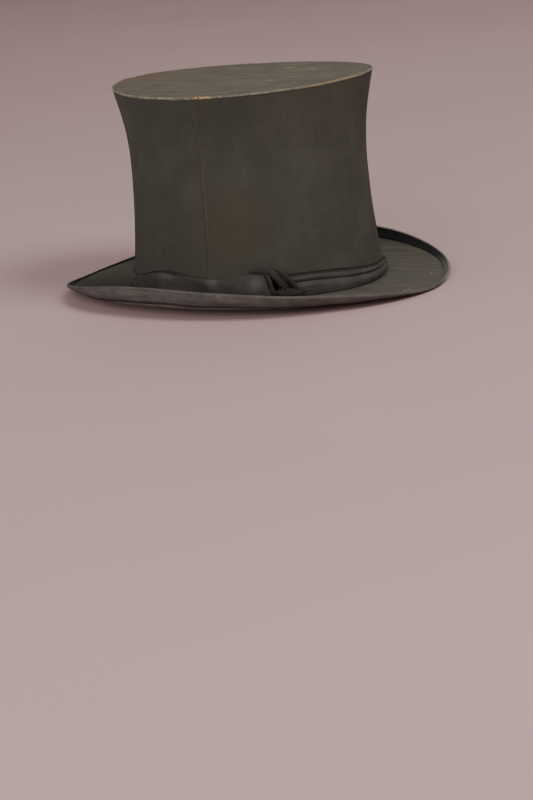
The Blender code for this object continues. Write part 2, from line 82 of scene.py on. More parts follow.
# ---- the crown and the brim, as the CAD part has them ----
BASE_OVAL = (0.086, 0.102)
WAIST_OVAL = (0.08, 0.0941)
TOP_OVAL = (0.089, 0.1032)
CROWN_HEIGHT = 0.156
WAIST_HEIGHT = 0.094
BRIM_WIDTH_SIDE = 0.0455
BRIM_WIDTH_END = 0.0502
BRIM_FORWARD = 0.0018  # the brim is this much wider in front and narrower behind
CURL_LENGTH = 0.027
CURL_ANGLE = radians(70)
CURL_FALL = 1.5
END_DIP = 0.0015
BOARD_THICKNESS = 0.0012
BRIM_CLOTH = 0.0005
BINDING_CLOTH = 0.0006
BINDING_UNDER = 0.011
BINDING_OVER_END, BINDING_OVER_SIDE = 0.0015, 0.0088  # how wide its upper side is, at the ends and sides
EDGE_WIRE_RADIUS = 0.0006
COVER_CLOTH = 0.0008
LINING_CLOTH = 0.0004
COLLAR_THICKNESS = 0.001
HOOP_THICKNESS = 0.0006
LEATHER_INSET = 0.0052
LEATHER_THICKNESS = 0.0011
LEATHER_LOW, LEATHER_HIGH = -0.0008, 0.024
BASE_HOOP_LOW, BASE_HOOP_HIGH = 0.0025, 0.024
TOP_HOOP_LOW, TOP_HOOP_HIGH = 0.1425, 0.1526
BAND_LOW = 0.0019
PIVOT_INSET = 0.0122
LOWER_PIVOT, UPPER_PIVOT = 0.032, 0.144
OPEN_LEAN = radians(4)
ARM_LENGTH = (UPPER_PIVOT - LOWER_PIVOT) / (2 * cos(OPEN_LEAN))
ARM_THICKNESS = 0.0015
ARM_OFFSET = ARM_THICKNESS / 2 + GAP / 2
EYE_RADIUS = 0.004
WIRE_RADIUS = 0.00045
SPRING_COIL_RADIUS = 0.0029
SPRING_TURNS = 3
SPRING_PITCH = 0.001
SPRING_LEG = 0.015
STRUT_PHIS = [radians(degrees) for degrees in (45, 135, 225, -45)]

# ---- the small ways in which the worn hat differs from the plain CAD shape ----
BASE_SADDLE = 0.0028  # the head opening's ends hang lower than its sides
TIP_SADDLE = 0.0024  # the tip's ends stand higher than its sides
TIP_TILT = 0.0008  # and its back is a little higher still
EDGE_THINNING = 0.35  # the brim's layers are pressed together at its edge

# ---- how far the crown comes down when it is folded ----
FOLD_ANGLE = radians(next(j for j in frame["joints"] if j["name"] == "crown_fold")["range_deg"][1])

SEAM_PHI = radians(3.5)  # the crown's felled side seam
SEAM_HALF = 0.0018
ROUND = 320  # columns around every oval piece
PHIS = [2 * pi * i / ROUND for i in range(ROUND)]


def crown_oval(z):
    """Half width and half length of the crown cloth's outside at this height."""
    if z < WAIST_HEIGHT:
        end, share = BASE_OVAL, (WAIST_HEIGHT - z) / WAIST_HEIGHT
    else:
        end, share = TOP_OVAL, (z - WAIST_HEIGHT) / (CROWN_HEIGHT - WAIST_HEIGHT)
    return [waist + (e - waist) * share**2 for waist, e in zip(WAIST_OVAL, end)]


def smooth(low, high, value):
    """0 below low, 1 above high, and an even S between them."""
    share = min(max((value - low) / (high - low), 0), 1)
    return share * share * (3 - 2 * share)


def saddle(phi, z):
    """How far a worn piece of the crown is above its plain height: none where the crown folds."""
    ends = -cos(2 * phi) / 2
    base = -BASE_SADDLE * ends * (1 - smooth(0.003, BASE_HOOP_HIGH, z))
    return base + (TIP_SADDLE * ends + TIP_TILT * sin(phi)) * smooth(TOP_HOOP_LOW, 0.1535, z)


def crown_point(phi, z, offset):
    """A point this far outside the crown cloth; a negative offset is inside it."""
    half_width, half_length = crown_oval(z)
    x, y = (half_width + offset) * cos(phi), (half_length + offset) * sin(phi)
    return Vector((x, y, z + saddle(phi, z)))


def outward(phi):
    return Vector((cos(phi) / BASE_OVAL[0], sin(phi) / BASE_OVAL[1], 0)).normalized()


def centred(phi):
    """The same direction as an angle from minus to plus half a turn."""
    return (phi + pi) % (2 * pi) - pi


def degrees_of(phi):
    return math.degrees(centred(phi))


def brim_width(phi):
    even = BRIM_WIDTH_SIDE + (BRIM_WIDTH_END - BRIM_WIDTH_SIDE) * sin(phi) ** 2
    return even - BRIM_FORWARD * sin(phi)


def curl_turn(phi):
    """How far the edge is turned up: most at the sides, not at all at the ends, and a little unevenly."""
    sway = 0.06 * cos(phi) - 0.08 * sin(phi) + 0.06 * sin(2 * phi)
    sway -= 0.06 * (sin(3 * phi) + cos(3 * phi)) + 0.09 * sin(4 * phi)
    return CURL_ANGLE * abs(cos(phi)) ** CURL_FALL * (1 + sway)


def unevenness(point, size, seed=0.0):
    """Smooth noise from about -1 to 1 that changes over this many metres."""
    return 1.6 * noise.noise(point / size + Vector((seed, 2 * seed, -seed)))


def brim_point(phi, along, lift):
    """along is the distance from the crown over the cloth, lift is square to the surface."""
    out = outward(phi)
    start = Vector((BASE_OVAL[0] * cos(phi), BASE_OVAL[1] * sin(phi), 0))
    width = brim_width(phi)
    turn = curl_turn(phi)
    on_curl = min(max(along - (width - CURL_LENGTH), 0), CURL_LENGTH)
    past_edge = max(along - width, 0)
    slope = turn * on_curl / CURL_LENGTH
    reach, rise = min(along, width - CURL_LENGTH), 0.0
    if slope > 1e-6:
        radius = CURL_LENGTH / turn
        reach += radius * sin(slope)
        rise += radius * (1 - cos(slope))
    else:
        reach += on_curl
    share = max(along, 0) / width
    lift *= 1 - EDGE_THINNING * smooth(width - 0.014, width, along)
    lift += 0.0007 * share * unevenness(start + out * min(along, width), 0.055, 3.0)
    reach += past_edge * cos(slope) - lift * sin(slope)
    rise += past_edge * sin(slope) + lift * cos(slope)
    rise += saddle(phi, 0) - END_DIP * sin(phi) ** 2 * share**1.5
    return start + out * reach + Vector((0, 0, rise))


def edge_point(degrees, past=0.0, lift=0.0):
    """A point of the brim this far past its edge."""
    phi = radians(degrees)
    return brim_point(phi, brim_width(phi) + past, lift)


def brim_flat(phi, along):
    """Where a point of the brim's cloth lies in the flat cut, as (length, width)."""
    start = Vector((BASE_OVAL[0] * cos(phi), BASE_OVAL[1] * sin(phi), 0))
    flat = start + outward(phi) * along
    return flat.y, flat.x


def spread(low, high, steps):
    return [low + (high - low) * i / steps for i in range(steps + 1)]


def bent(value, power):
    """A power of the value that keeps its sign."""
    return copysign(abs(value) ** power, value)


def circle(count):
    return spread(0, 2 * pi, count)[:-1]


def add_object(name, data):
    made = bpy.data.objects.new(name, data)
    bpy.context.scene.collection.objects.link(made)
    return made


def add_mesh(maker, name, look):
    mesh = bpy.data.meshes.new(name)
    maker.to_mesh(mesh)
    maker.free()
    mesh.materials.append(look)
    return add_object(name, mesh)


# ---- making pieces ----
def finish_piece(maker, name, look, nodes=(), body="brim_and_base"):
    """Turns a bmesh into a smooth piece that rides on a body and stands for these CAD nodes."""
    bmesh.ops.recalc_face_normals(maker, faces=maker.faces)
    piece = add_mesh(maker, name, look)
    piece.data.shade_smooth()
    piece.data.set_sharp_from_angle(angle=radians(50))
    if body:
        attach(piece, body)
    if nodes:
        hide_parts(*nodes)
    return piece


def distances(points):
    total = [0.0]
    for one, other in zip(points, points[1:]):
        total.append(total[-1] + (other - one).length)
    return total


def skin(maker, layer, grid, last, place):
    """Faces between this many rows of a grid of corners; place(row, column) is a corner's UV."""
    count = len(grid[0])
    for row in range(last):
        below = (row + 1) % len(grid)
        for i in range(count):
            j = (i + 1) % count
            face = maker.faces.new((grid[row][i], grid[row][j], grid[below][j], grid[below][i]))
            corners = ((row, i), (row, i + 1), (row + 1, i + 1), (row + 1, i))
            for loop, corner in zip(face.loops, corners):
                loop[layer].uv = place(*corner)


def hoop(section, point, phis=PHIS, laid=None, closed=True):
    """A bmesh ring: section is its outline and point(phi, item) places an item of it.

    A closed section makes a solid ring; an open one ends in a pole at both ends, which makes a solid disc.
    The UV map named cloth holds metres along and across the cloth, or what laid(phi, item) gives.
    """
    rows = [[point(phi, item) for phi in phis] for item in section]
    maker = bmesh.new()
    layer = maker.loops.layers.uv.new("cloth")
    grid = [[maker.verts.new(p) for p in row] for row in rows]
    around = distances(rows[0] + rows[0][:1])
    across = distances([row[0] for row in rows] + [rows[0][0]])

    def coordinate(row, column):
        if laid:
            return laid(phis[column % len(phis)], section[row % len(rows)])
        return around[column], across[row]

    skin(maker, layer, grid, len(rows) if closed else len(rows) - 1, coordinate)
    if not closed:
        for row in (0, len(rows) - 1):
            middle = sum(rows[row], Vector()) / len(phis)
            pole = maker.verts.new(middle)
            for i in range(len(phis)):
                j = (i + 1) % len(phis)
                face = maker.faces.new((grid[row][i], grid[row][j], pole))
                for loop, place in zip(face.loops, (rows[row][i], rows[row][j], middle)):
                    loop[layer].uv = (place.y, place.x)
    return maker


def sweep(maker, rings):
    """Adds a closed tube through these rings of points to a bmesh, with a fan at each end."""
    layer = maker.loops.layers.uv.get("cloth") or maker.loops.layers.uv.new("cloth")
    grid = [[maker.verts.new(p) for p in ring] for ring in rings]
    along = distances([sum(ring, Vector()) / len(ring) for ring in rings])
    middle_ring = rings[len(rings) // 2]
    across = distances(middle_ring + middle_ring[:1])
    count = len(rings[0])
    skin(maker, layer, grid, len(rings) - 1, lambda row, column: (along[row], across[column]))
    for row in (0, -1):
        pole = maker.verts.new(sum(rings[row], Vector()) / count)
        for i in range(count):
            maker.faces.new((grid[row][i], grid[row][(i + 1) % count], pole))
    return maker


def direction(points, i):
    """Which way a line of points runs at one of them."""
    return (points[min(i + 1, len(points) - 1)] - points[max(i - 1, 0)]).normalized()


def tube_rings(points, side_of, widths, thicknesses, count=16, power=1.0):
    """Rings of a flattened tube along points; side_of(i) is the direction that it is thin in."""
    rings = []
    for i, point in enumerate(points):
        along = direction(points, i)
        thin = side_of(i)
        thin = (thin - along * along.dot(thin)).normalized()
        wide = along.cross(thin)
        ring = []
        for turn in circle(count):
            c, s = bent(cos(turn), power), bent(sin(turn), power)
            ring.append(point + wide * widths[i] * c + thin * thicknesses[i] * s)
        rings.append(ring)
    return rings


def stitch(maker, place, out, radius):
    """A short stitch; place(share, dive) is a point of it from share -1 to 1, sunk by dive."""
    points = [place(share, 0.00025 * share**4) for share in (-1, -0.7, 0, 0.7, 1)]
    sizes = [radius * size for size in (0.5, 0.9, 1, 0.9, 0.5)]
    sweep(maker, tube_rings(points, lambda i: out, sizes, sizes, 6))


def curve_through(controls, steps):
    """Points of a smooth curve through these tuples, evenly many between each two."""
    made = []
    last = len(controls) - 1
    for i in range(last):
        p0, p1, p2, p3 = (controls[min(max(i + k, 0), last)] for k in (-1, 0, 1, 2))
        for step in range(steps + (i == last - 1)):
            t = step / steps
            made.append(tuple(
                (2 * b + t * (c - a + t * (2 * a - 5 * b + 4 * c - d + t * (3 * b - a - 3 * c + d)))) / 2
                for a, b, c, d in zip(p0, p1, p2, p3)
            ))
    return made


# ---- materials ----
class Look:
    """A Principled material that is being put together."""

    def __init__(self, name, roughness, specular=0.5, **sockets):
        self.material = bpy.data.materials.new(name)
        self.material.use_nodes = True
        self.nodes = self.material.node_tree.nodes
        self.shader = self.nodes["Principled BSDF"]
        self.shader.inputs["Roughness"].default_value = roughness
        self.shader.inputs["Specular IOR Level"].default_value = specular
        for socket, value in sockets.items():
            self.shader.inputs[socket.replace("_", " ")].default_value = value
        self.place = self.node("TexCoord").outputs["Object"]
        self.cloth = self.node("UVMap", uv_map="cloth").outputs["UV"]

    def node(self, kind, inputs=None, **settings):
        made = self.nodes.new("ShaderNode" + kind)
        for key, value in settings.items():
            setattr(made, key, value)
        for key, value in (inputs or {}).items():
            self.join(value, made.inputs[key])
        return made

    def join(self, value, socket):
        if isinstance(value, bpy.types.NodeSocket):
            self.material.node_tree.links.new(value, socket)
        else:
            socket.default_value = value

    def maths(self, operation, one, two=0.0):
        return self.node("Math", {0: one, 1: two}, operation=operation).outputs[0]

    def times(self, *values):
        return reduce(lambda one, two: self.maths("MULTIPLY", one, two), values)

    def plus(self, *values):
        return reduce(lambda one, two: self.maths("ADD", one, two), values)

    def ramp(self, value, low=0.35, high=0.7, start=0.0, end=1.0):
        """value from low to high becomes start to end, with soft ends."""
        inputs = {"Value": value, "From Min": low, "From Max": high, "To Min": start, "To Max": end}
        return self.node("MapRange", inputs, interpolation_type="SMOOTHSTEP").outputs["Result"]

    def mix(self, share, one, other):
        """A colour between one and other."""
        made = self.node("Mix", data_type="RGBA")
        for value, socket in ((share, 0), (one, 6), (other, 7)):
            if isinstance(value, tuple):
                value = (*value, 1)
            self.join(value, made.inputs[socket])
        return made.outputs[2]

    def layer(self, share, colour):
        """Lays this colour over what is there already."""
        self.colour = self.mix(share, self.colour, colour)

    def mark(self, colour, centre, radius, soft, share):
        """Lays a colour near a point of the hat, by this share."""
        self.layer(self.times(self.spot(centre, radius, soft), share), colour)

    def noise(self, size, detail=3.0, stretch=(1, 1, 1), where=None):
        """Noise from 0 to 1 whose patches are this many metres across."""
        scaled = self.node("Mapping", {"Vector": where or self.place, "Scale": stretch})
        inputs = {"Vector": scaled.outputs[0], "Scale": 1 / size, "Detail": detail, "Roughness": 0.55}
        return self.node("TexNoise", inputs).outputs["Fac"]

    def spot(self, centre, radius, soft=0.5):
        """1 near a point of the hat, falling to 0 at this radius over the soft share of it."""
        apart = self.node("VectorMath", {0: self.place, 1: centre}, operation="DISTANCE").outputs["Value"]
        return self.ramp(apart, radius, radius * (1 - soft))

    def uv(self):
        parts = self.node("SeparateXYZ", {0: self.cloth}).outputs
        return parts[0], parts[1]

    def weave(self, pitch=0.00055):
        """A plain weave's height, from -1 to 1."""
        return self.times(*(self.maths("SINE", self.times(way, 2 * pi / pitch)) for way in self.uv()))

    def ribs(self, pitch):
        """Ribs across the ribbon, from -1 to 1."""
        return self.maths("SINE", self.times(self.uv()[0], 2 * pi / pitch))

    def dress(self, height, depth, roughness=None):
        self.join(self.colour, self.shader.inputs["Base Color"])
        if roughness is not None:
            self.join(roughness, self.shader.inputs["Roughness"])
        bump = self.node("Bump", {"Height": height, "Distance": depth})
        self.join(bump.outputs[0], self.shader.inputs["Normal"])
        return self.material


def rim_point(phi, z=CROWN_HEIGHT):
    return crown_point(radians(phi), z, 0)


def side_cloth():
    """The crown's matt black silk and wool, faded to a charcoal olive, browner where it was handled."""
    look = Look("faded_crown_cloth", 0.9, 0.2)
    patches = look.ramp(look.noise(0.03, 4))
    fine = look.noise(0.0016, 3)
    look.colour = look.mix(patches, (0.057, 0.057, 0.046), (0.071, 0.071, 0.057))
    look.mark((0.074, 0.063, 0.043), crown_point(radians(14), 0.05, 0), 0.055, 0.9, 0.55)
    drag = look.noise(0.004, 4, stretch=(1, 1, 0.06))
    look.layer(look.ramp(drag, 0.4, 0.75, 0.0, 0.22), (0.046, 0.044, 0.036))
    look.layer(look.ramp(fine, 0.55, 0.8, 0.0, 0.35), (0.1, 0.096, 0.079))
    from_seam = look.maths("ABSOLUTE", look.plus(look.uv()[0], -SEAM_PHI * BASE_OVAL[1]))
    worn_seam = look.ramp(look.noise(0.014, 4), 0.4, 0.66, 0.0, 0.8)
    on_seam = look.times(look.ramp(from_seam, 0.0008, 0.003, 1.0, 0.0), worn_seam)
    look.layer(on_seam, (0.09, 0.081, 0.062))
    lint = look.ramp(look.noise(0.0012, 2.0), 0.712, 0.752, 0.0, 0.5)
    look.layer(lint, (0.17, 0.15, 0.12))
    height = look.plus(look.times(look.weave(), 0.5), look.times(fine, 0.8))
    return look.dress(height, 0.00012)


def tip_cloth():
    """The same cloth on the flat tip, more faded and also painted lighter for the light that falls on its
    top, with streaks front to back and some red-brown wear.
    """
    look = Look("faded_tip_cloth_painted_lighter", 0.9, 0.2)
    streaks = look.noise(0.006, 5, stretch=(1, 0.1, 1))
    # partly painted light: the tip's colours are lighter than the side cloth's, partly from fading and
    # partly to stand in for the light on its upward face
    look.colour = look.mix(look.ramp(streaks, 0.3, 0.75), (0.132, 0.117, 0.089), (0.188, 0.167, 0.128))
    cloudy = look.ramp(look.noise(0.016, 4), 0.4, 0.7, 0.0, 0.6)
    look.layer(cloudy, (0.118, 0.106, 0.082))
    bright = look.ramp(look.noise(0.01, 4, stretch=(1.6, 0.22, 1)), 0.58, 0.72, 0.0, 0.4)
    look.layer(bright, (0.3, 0.26, 0.19))
    grain = look.noise(0.0022, 3, stretch=(1, 0.5, 1))
    for x, y, radius in ((-0.04, 0.034, 0.013), (-0.052, 0.014, 0.009), (0.012, 0.03, 0.008)):
        rubbed = look.ramp(grain, 0.45, 0.6, 0.0, 0.7)
        look.mark((0.36, 0.33, 0.205), (x, y, CROWN_HEIGHT), radius, 0.9, rubbed)
    red = look.ramp(grain, 0.4, 0.58, 0.0, 0.75)
    look.mark((0.21, 0.095, 0.06), (-0.01, -0.094, CROWN_HEIGHT), 0.034, 0.9, red)
    fine = look.noise(0.0014, 3)
    height = look.plus(look.times(look.weave(), 0.5), fine, look.times(streaks, 0.8))
    return look.dress(height, 0.00014)


def welt_cloth():
    """The corded rim of the tip, rubbed to its pale core along the edge."""
    look = Look("rubbed_welt_cloth", 0.85, 0.2)
    grain = look.noise(0.0022, 4)
    look.colour = look.mix(look.ramp(grain), (0.19, 0.172, 0.135), (0.4, 0.362, 0.285))
    whole = look.ramp(look.noise(0.016, 4), 0.42, 0.6, 0.5, 0.0)
    look.layer(whole, (0.135, 0.124, 0.097))
    rubbed = look.ramp(look.noise(0.006, 3), 0.35, 0.6)
    look.mark((0.32, 0.24, 0.14), rim_point(70), 0.05, 0.8, rubbed)
    look.mark((0.72, 0.47, 0.17), rim_point(8.6), 0.0085, 0.4, look.ramp(grain, 0.42, 0.56))
    look.mark((0.13, 0.085, 0.045), rim_point(-2), 0.0075, 0.5, look.ramp(grain, 0.38, 0.6, 0.0, 0.8))
    look.mark((0.23, 0.11, 0.07), rim_point(-95), 0.035, 0.8, look.ramp(grain, 0.5, 0.65))
    height = look.plus(look.times(look.weave(0.0007), 0.6), grain)
    return look.dress(height, 0.00018)


def brim_cloth(name, light, dark, shadow_and_specks):
    look = Look(name, 0.9, 0.2)
    lines = look.noise(0.003, 4, stretch=(1, 0.07, 1))
    patches = look.ramp(look.noise(0.028, 3))
    look.colour = look.mix(look.ramp(lines), dark, light)
    look.layer(look.times(patches, 0.3), tuple(0.8 * c for c in light))
    if shadow_and_specks:
        # painted shadow: the crown's shadow laid as a dark patch on the brim's top at the front left; the
        # light specks below are wear
        look.mark((0.05, 0.049, 0.037), brim_point(radians(-62), 0.025, 0.0), 0.075, 0.9, 0.7)
        for x, y in ((-0.03, 0.1343), (0.029, 0.1402), (0.016, 0.1414), (0.022, 0.1408)):
            worn = look.ramp(look.noise(0.0011, 2), 0.4, 0.5)
            look.mark((0.6, 0.53, 0.42), (x, y, 0.001), 0.0022, 0.5, worn)
    fine = look.noise(0.0015, 3)
    height = look.plus(look.times(look.weave(), 0.5), fine, look.times(lines, 0.6))
    return look.dress(height, 0.00014)


def binding_ribbon():
    """Ribbed silk: faded to a pinkish grey outside the curl and rubbed on its crest; inside the curl it is
    painted near black as shade, less at the brim's back end.
    """
    look = Look("faded_binding_ribbon", 0.75, 0.2)
    across = look.uv()[1]
    crest = BINDING_UNDER + 0.0034

    def between(start, full, fall, end):
        """1 on the crest, falling to 0 this far before and after it."""
        before = look.ramp(across, crest - start, crest - full)
        return look.times(before, look.ramp(across, crest + fall, crest + end, 1.0, 0.0))

    worn = look.noise(0.012, 4)
    streak = look.noise(0.003, 4, stretch=(0.09, 1, 1), where=look.cloth)
    look.colour = look.mix(look.ramp(worn, 0.35, 0.68), (0.088, 0.082, 0.078), (0.134, 0.124, 0.117))
    look.layer(look.ramp(streak, 0.42, 0.7, 0.0, 0.75), (0.172, 0.158, 0.148))
    # painted shade: the ribbon darkens towards its lower edge on the brim's underside, where less light
    # falls
    look.layer(look.ramp(across, 0.004, 0.009, 0.4, 0.0), (0.052, 0.047, 0.044))
    rim = between(0.0016, 0.0006, 0.0024, 0.0036)
    far_side = look.spot(edge_point(140), 0.12, 0.3)
    near_side = look.spot(edge_point(92), 0.085, 0.5)
    dulled = look.ramp(across, crest - 0.003, crest - 0.0012, 0.0, 0.28)
    look.layer(dulled, (0.056, 0.052, 0.047))
    rubbed = look.times(rim, far_side, look.ramp(streak, 0.3, 0.6, 0.7, 1.0))
    look.layer(rubbed, (0.235, 0.21, 0.188))
    # painted shadow: the ribbon's lower edge is darkened as the shade in the groove where it meets the
    # brim's under cloth
    groove = look.ramp(across, 0.0012, 0.0036, 0.9, 0.0)
    look.layer(groove, (0.018, 0.016, 0.014))
    # painted shade: the inside of the turned-up edge is painted near black, much less round the brim's back
    # end
    painted_inner_shade = look.ramp(across, crest + 0.0026, crest + 0.0038)
    painted_inner_shade = look.times(painted_inner_shade, look.plus(look.times(near_side, -0.85), 1.0))
    look.layer(painted_inner_shade, (0.007, 0.006, 0.006))
    thread = look.ramp(look.noise(0.0012, 3, stretch=(0.12, 1, 1), where=look.cloth), 0.44, 0.56)
    frayed = look.times(thread, between(0.002, 0.001, 0.002, 0.003))
    look.mark((0.56, 0.42, 0.24), edge_point(158, 0.002), 0.0095, 0.6, frayed)
    patched = look.times(look.ramp(worn, 0.3, 0.6), 0.4)
    look.mark((0.21, 0.19, 0.17), edge_point(15, -0.001, -0.002), 0.0042, 0.5, patched)
    height = look.plus(look.times(look.ribs(0.00085), 0.6), look.times(streak, 0.8))
    return look.dress(height, 0.00018, look.ramp(worn, 0.3, 0.7, 0.62, 0.82))


def band_ribbon(name, fade_and_shade, edge=None, edge_width=0.0, edge_start=0.0, edge_end=0.0):
    """The hat band's silk, its colours scaled to paint light and shade into each copy, with a painted
    shadow line along one edge over part of its length.
    """
    look = Look(name, 0.78, 0.12)
    along, across = look.uv()
    worn = look.noise(0.012, 5)
    streak = look.noise(0.004, 4, stretch=(0.2, 1, 1), where=look.cloth)
    shades = ((0.055, 0.05, 0.046), (0.074, 0.067, 0.062), (0.098, 0.088, 0.08), (0.118, 0.108, 0.099))
    # painted light and shade: each copy of the ribbon has its colours scaled to how lit it looks
    dark, light, thread, pale = (tuple(fade_and_shade * c for c in shade) for shade in shades)
    look.colour = look.mix(look.ramp(worn), dark, light)
    look.layer(look.ramp(streak, 0.5, 0.75, 0.0, 0.4), thread)
    for degrees, z, radius in ((-15, 0.013, 0.017), (5.6, 0.0155, 0.007), (24, 0.013, 0.009)):
        rubbed = look.ramp(worn, 0.35, 0.65, 0.35, 0.75)
        look.mark(pale, crown_point(radians(degrees), z, 0.006), radius, 0.8, rubbed)
    # painted shadow: near-black spots on the ribbon in the gaps between the knot's rolls
    for degrees, z in ((31.6, 0.0165), (32.6, 0.0125), (33.6, 0.0095), (39.6, 0.0112)):
        look.mark((0.006, 0.005, 0.005), crown_point(radians(degrees), z, 0.003), 0.0034, 0.35, 0.95)
    # painted shadow: a near-black line along the ribbon's upper edge over part of its length, where it
    # stands off the crown
    if edge is not None:
        apart = look.maths("ABSOLUTE", look.plus(across, -edge))
        painted_edge_shadow = look.ramp(apart, edge_width * 0.2, edge_width, 0.85, 0.0)
        started = look.ramp(along, edge_start - 0.006, edge_start + 0.006)
        ended = look.ramp(along, edge_end - 0.006, edge_end + 0.006, 1.0, 0.0)
        look.layer(look.times(painted_edge_shadow, started, ended), (0.01, 0.009, 0.008))
    height = look.plus(look.times(look.ribs(0.0006), 0.4), look.times(worn, 0.8))
    return look.dress(height, 0.00012, look.ramp(worn, 0.3, 0.7, 0.78, 0.94))


def lining_satin():
    look = Look("black_lining_satin", 0.34, Sheen_Weight=0.2, Anisotropic=0.5)
    worn = look.noise(0.022, 4)
    thread = look.noise(0.0008, 3, stretch=(0.08, 1, 1), where=look.cloth)
    look.colour = look.mix(look.ramp(worn), (0.02, 0.019, 0.021), (0.034, 0.032, 0.034))
    look.layer(look.ramp(thread, 0.5, 0.8, 0.0, 0.4), (0.055, 0.052, 0.053))
    return look.dress(thread, 0.00006, look.ramp(worn, 0.3, 0.7, 0.28, 0.42))


def leather_look():
    look = Look("sweatband_leather", 0.5)
    cells = look.node("TexVoronoi", {"Vector": look.place, "Scale": 1100.0}, feature="DISTANCE_TO_EDGE")
    grain = look.ramp(cells.outputs["Distance"], 0.0, 0.25)
    stain = look.noise(0.02, 5)
    look.colour = look.mix(look.ramp(stain), (0.085, 0.034, 0.014), (0.17, 0.08, 0.036))
    height_in_hat = look.node("SeparateXYZ", {0: look.place}).outputs[2]
    sweat = look.times(look.ramp(height_in_hat, 0.006, 0.018), look.ramp(look.noise(0.012, 4), 0.35, 0.6))
    look.layer(look.times(sweat, 0.75), (0.035, 0.015, 0.008))
    look.layer(look.ramp(grain, 0.0, 0.6, 0.45, 0.0), (0.03, 0.013, 0.007))
    rough = look.ramp(stain, 0.3, 0.7, 0.42, 0.62)
    return look.dress(look.plus(grain, look.times(stain, 1.2)), 0.0001, rough)


def buckram():
    look = Look("shellacked_buckram", 0.6)
    stain = look.noise(0.015, 4)
    net = look.weave(0.0012)
    look.colour = look.mix(look.ramp(stain), (0.15, 0.1, 0.052), (0.27, 0.2, 0.12))
    look.layer(look.ramp(net, -0.2, 0.6, 0.5, 0.0), (0.08, 0.05, 0.025))
    return look.dress(net, 0.0002)


def steel(name, bare, dull, roughness):
    """Drawn steel with fine scratches, dark oxide and a little rust."""
    look = Look(name, roughness, Metallic=1.0)
    oxide = look.noise(0.006, 5)
    scratch = look.noise(0.0006, 3, stretch=(1, 1, 0.08))
    look.colour = look.mix(look.ramp(oxide), bare, dull)
    look.layer(look.ramp(scratch, 0.55, 0.8, 0.0, 0.35), tuple(min(1, 1.5 * c) for c in bare))
    rust = look.ramp(look.noise(0.004, 6), 0.62, 0.72, 0.0, 0.6)
    look.layer(rust, (0.11, 0.042, 0.016))
    rough = look.ramp(oxide, 0.3, 0.7, roughness, roughness + 0.25)
    return look.dress(scratch, 0.00004, rough)


def thread_look(name, colour):
    look = Look(name, 0.7)
    twist = look.maths("SINE", look.times(look.uv()[0], 2 * pi / 0.0005))
    fade_and_shade = look.noise(0.01, 3)
    look.colour = look.mix(look.ramp(fade_and_shade, 0.3, 0.7), colour, tuple(0.6 * c for c in colour))
    return look.dress(twist, 0.00006)


SIDE_CLOTH = side_cloth()
TIP_CLOTH = tip_cloth()
WELT_CLOTH = welt_cloth()
TOP_CLOTH = brim_cloth("faded_brim_cloth", (0.14, 0.128, 0.103), (0.094, 0.087, 0.07), True)
# painted light: the brim's under cloth is given much lighter colours than the cloth has, in place of the
# light that the floor shades from the brim's underside
UNDER_CLOTH = brim_cloth("brim_under_cloth", (0.24, 0.23, 0.198), (0.17, 0.162, 0.14), False)
BINDING = binding_ribbon()
# painted light and shade: the band, the loose loop and the knot are one ribbon, each copy's colours scaled
# by the second argument to how lit it looks
BAND = band_ribbon("hat_band_silk", 1.2, 0.0, 0.0034, 0.052, 0.2)
KNOT = band_ribbon("hat_band_knot_silk", 0.68)
SATIN = lining_satin()
LEATHER = leather_look()
BUCKRAM = buckram()
BLACK_STEEL = steel("blued_spring_steel", (0.06, 0.06, 0.066), (0.022, 0.021, 0.022), 0.34)
BRIGHT_STEEL = steel("bright_spring_wire", (0.48, 0.47, 0.45), (0.23, 0.215, 0.2), 0.26)
BLACK_THREAD = thread_look("black_thread", (0.03, 0.027, 0.024))
TAN_THREAD = thread_look("tan_thread", (0.23, 0.16, 0.09))


# ---- camera, light and floor ----
def make_camera():
    """Looks from the wearer's left and a little behind, with the hat high in the frame."""
    distance, azimuth, elevation, roll = 1.86, radians(29.7), radians(12.1), radians(5)
    level_share = cos(elevation)
    back = Vector((level_share * cos(azimuth), level_share * sin(azimuth), sin(elevation)))
    level = Vector((-sin(azimuth), cos(azimuth), 0))
    upright = back.cross(level)
    right = level * cos(roll) - upright * sin(roll)
    up = upright * cos(roll) + level * sin(roll)
    facing = Matrix((right, up, back)).transposed()
    hat_in_frame = Vector((-0.00328, 0.05185, -1)).normalized()
    turn = hat_in_frame.rotation_difference(Vector((0, 0, -1))).to_matrix()
    data = bpy.data.cameras.new("camera")
    data.lens = 107.1
    data.sensor_width = 36
    data.clip_end = 50
    camera = add_object("camera", data)
    camera.matrix_world = Matrix.Translation(back * distance) @ (facing @ turn).to_4x4()
    bpy.context.scene.camera = camera


def make_light(name, place, size, power, colour):
    data = bpy.data.lights.new(name, "AREA")
    data.shape = "DISK"
    data.size = size
    data.energy = power
    data.color = colour
    light = add_object(name, data)
    light.location = place
    light.rotation_euler = (Vector((0, 0, 0.07)) - Vector(place)).to_track_quat("-Z", "Y").to_euler()


